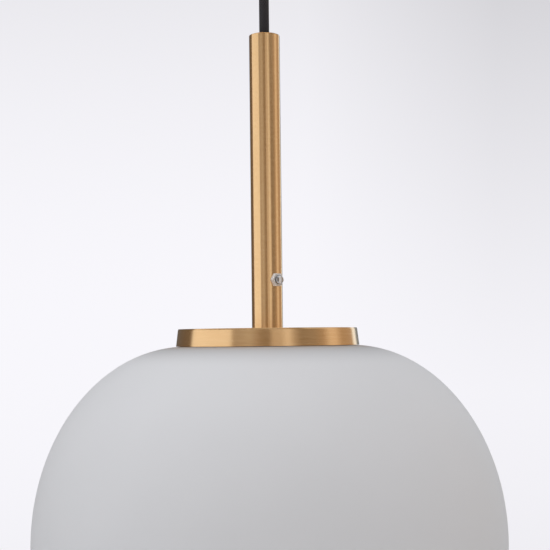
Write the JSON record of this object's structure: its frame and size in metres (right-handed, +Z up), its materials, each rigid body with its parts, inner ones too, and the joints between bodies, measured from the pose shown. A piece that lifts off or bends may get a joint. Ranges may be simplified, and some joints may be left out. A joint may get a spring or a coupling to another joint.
{
  "type": "pendant ceiling light",
  "caption": "Pendant light: ceiling canopy, black cord, slim satin brass stem and cap, and a wide opal glass globe with a screw-in bulb.",
  "frame": {"origin": "centre of the ceiling bracket's face that lies on the ceiling", "axes": "+Z up into the ceiling, along the cord and stem; +X along the bracket, through its two thumb screws"},
  "size_m": [0.3, 0.3, 0.5481],
  "materials": {
    "satin_brass": "fine brushed satin, lacquered",
    "brass_fitting": "turned, plain",
    "zinc_steel": "zinc plated",
    "nickelled_metal": "nickel plated",
    "polished_chrome": "polished",
    "opal_glass": "matte opal, three-layer",
    "bulb_opal": "frosted",
    "black_glass": "glossy",
    "clear_plastic": "clear, moulded",
    "clear_silicone": "translucent",
    "black_textile": "braided",
    "black_plastic": "moulded",
    "white_nylon": "moulded",
    "white_thermoset": "moulded",
    "porcelain": "glazed",
    "white_board": "solder mask",
    "brown_core": "extruded",
    "blue_core": "extruded",
    "green_core": "extruded, green and yellow"
  },
  "bodies": {
    "ceiling_mount": {"ceiling_bracket": "zinc_steel", "bracket_earth_screw": "brass_fitting"},
    "washer_left": {"canopy_washer_left": "brass_fitting"},
    "thumb_screw_left": {"canopy_screw_left": "satin_brass"},
    "washer_right": {"canopy_washer_right": "brass_fitting"},
    "thumb_screw_right": {"canopy_screw_right": "satin_brass"},
    "canopy": {"canopy_cup": "satin_brass", "gland_body": "brass_fitting", "gland_washer": "zinc_steel", "gland_nut": "zinc_steel", "gland_collet": "white_nylon", "gland_cap": "satin_brass", "terminal_block": "white_nylon", "terminal_clamps": "brass_fitting", "terminal_screws": "zinc_steel", "terminal_nut": "zinc_steel", "cord_tail": "black_textile", "canopy_live_core": "brown_core", "canopy_neutral_core": "blue_core", "canopy_earth_core": "green_core"},
    "cord": {"suspension_cord": "black_textile"},
    "pendant": {"stem_tube": "satin_brass", "stem_top_bush": "black_plastic", "stem_plug": "brass_fitting", "lock_bush": "clear_plastic", "stem_cord": "black_textile", "threaded_nipple": "brass_fitting", "cap_cover": "satin_brass", "globe_gallery": "zinc_steel", "nipple_washer": "zinc_steel", "nipple_nut": "zinc_steel", "lampholder_cover": "white_thermoset", "earth_tag": "brass_fitting", "holder_nut": "zinc_steel", "lampholder_shell": "white_thermoset", "lampholder_insert": "porcelain", "thread_shell": "nickelled_metal", "centre_contact": "brass_fitting", "lampholder_terminals": "brass_fitting", "lampholder_screws": "zinc_steel", "holder_live_core": "brown_core", "holder_neutral_core": "blue_core", "holder_earth_core": "green_core"},
    "cord_lock_pad": {"lock_pad": "white_nylon"},
    "cord_lock_screw": {"lock_screw": "polished_chrome"},
    "bulb_tip": {"bulb_contact": "nickelled_metal", "bulb_insulator": "black_glass"},
    "bulb": {"bulb_cap": "nickelled_metal", "bulb_housing": "white_thermoset", "led_board": "white_board", "bulb_diffuser": "bulb_opal"},
    "gasket": {"globe_gasket": "clear_silicone"},
    "globe": {"glass_globe": "opal_glass"}
  },
  "joints": [
    {"name": "washer_left_travel", "type": "slide", "parent": "ceiling_mount", "child": "washer_left", "axis": [-1, 0, 0], "range_m": [0, 0.0021]},
    {"name": "thumb_screw_left_turn", "type": "hinge", "parent": "washer_left", "child": "thumb_screw_left", "pos_m": [-0.063, 0, -0.009], "axis": [-1, 0, 0], "range_deg": [0, 1080]},
    {"name": "washer_right_travel", "type": "slide", "parent": "ceiling_mount", "child": "washer_right", "axis": [1, 0, 0], "range_m": [0, 0.0021]},
    {"name": "thumb_screw_right_turn", "type": "hinge", "parent": "washer_right", "child": "thumb_screw_right", "pos_m": [0.063, 0, -0.009], "axis": [1, 0, 0], "range_deg": [0, 1080]},
    {"name": "canopy_lower", "type": "slide", "parent": "ceiling_mount", "child": "canopy", "axis": [0, 0, -1], "range_m": [0, 0.05]},
    {"name": "cord_swing", "type": "hinge", "parent": "canopy", "child": "cord", "pos_m": [0, 0, -0.038], "axis": [0, 1, 0], "range_deg": [-10, 10]},
    {"name": "pendant_swing", "type": "hinge", "parent": "cord", "child": "pendant", "pos_m": [0, 0, -0.1015], "axis": [1, 0, 0], "range_deg": [-10, 10]},
    {"name": "cord_lock_travel", "type": "slide", "parent": "pendant", "child": "cord_lock_pad", "axis": [0.6018, -0.7986, 0], "range_m": [0, 0.0014]},
    {"name": "cord_lock_turn", "type": "hinge", "parent": "cord_lock_pad", "child": "cord_lock_screw", "pos_m": [0.00722, -0.00958, -0.262], "axis": [0.6018, -0.7986, 0], "range_deg": [0, 720]},
    {"name": "bulb_travel", "type": "slide", "parent": "pendant", "child": "bulb_tip", "axis": [0, 0, -1], "range_m": [0, 0.02177]},
    {"name": "bulb_turn", "type": "hinge", "parent": "bulb_tip", "child": "bulb", "pos_m": [0, 0, -0.35], "axis": [0, 0, -1], "range_deg": [0, 2160]},
    {"name": "globe_travel", "type": "slide", "parent": "pendant", "child": "gasket", "axis": [0, 0, -1], "range_m": [0, 0.006]},
    {"name": "globe_turn", "type": "hinge", "parent": "gasket", "child": "globe", "pos_m": [0, 0, -0.3035], "axis": [0, 0, -1], "range_deg": [0, 540]}
  ],
  "couplings": [
    {"joint": "thumb_screw_left_turn", "follows": "washer_left_travel", "rad_per_m": 8975.9},
    {"joint": "thumb_screw_right_turn", "follows": "washer_right_travel", "rad_per_m": 8975.9},
    {"joint": "cord_lock_turn", "follows": "cord_lock_travel", "rad_per_m": 8975.9},
    {"joint": "bulb_turn", "follows": "bulb_travel", "rad_per_m": 1731.6},
    {"joint": "globe_turn", "follows": "globe_travel", "rad_per_m": 1570.8}
  ]
}
